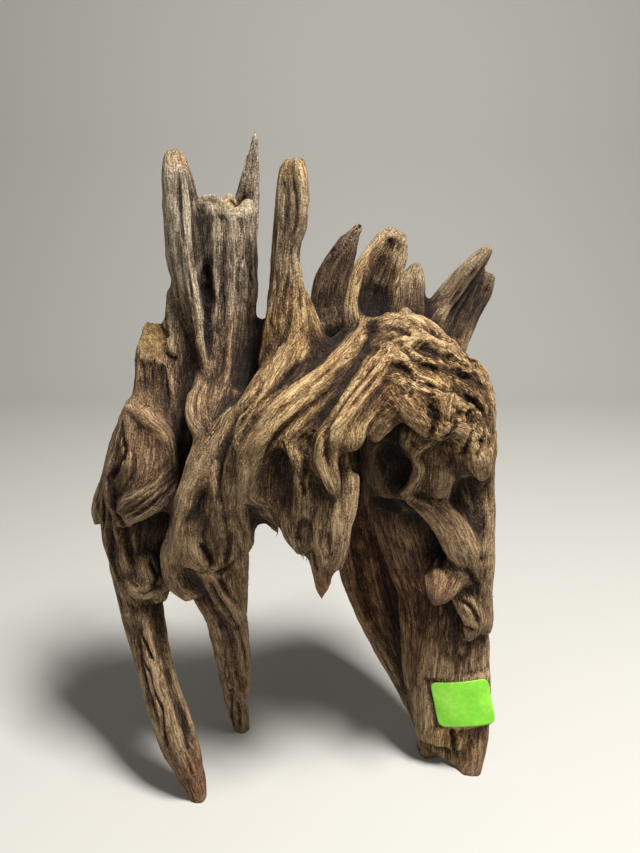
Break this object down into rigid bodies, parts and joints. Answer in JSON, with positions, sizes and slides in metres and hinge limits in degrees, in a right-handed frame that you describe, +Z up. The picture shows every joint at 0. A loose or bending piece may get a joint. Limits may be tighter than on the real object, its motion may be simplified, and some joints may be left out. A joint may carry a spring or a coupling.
{
  "type": "wood trunk",
  "caption": "Weathered root trunk of driftwood that stands on three root legs, with an arch between them, broken horns on top and a plain paper label on one leg.",
  "frame": {"origin": "on the floor, under the middle of the trunk's outer box", "axes": "+Z up, +X to the viewer's right in the picture, +Y away from the viewer"},
  "size_m": [0.254, 0.144, 0.4038],
  "materials": {
    "weathered_wood": "dry weathered wood with raised grain, golden tan ridges, grey tips and near-black creases",
    "label_paper": "bright green coated paper label, bare"
  },
  "bodies": {
    "root": {"wood_trunk": "weathered_wood", "lot_label": "label_paper"}
  },
  "joints": []
}
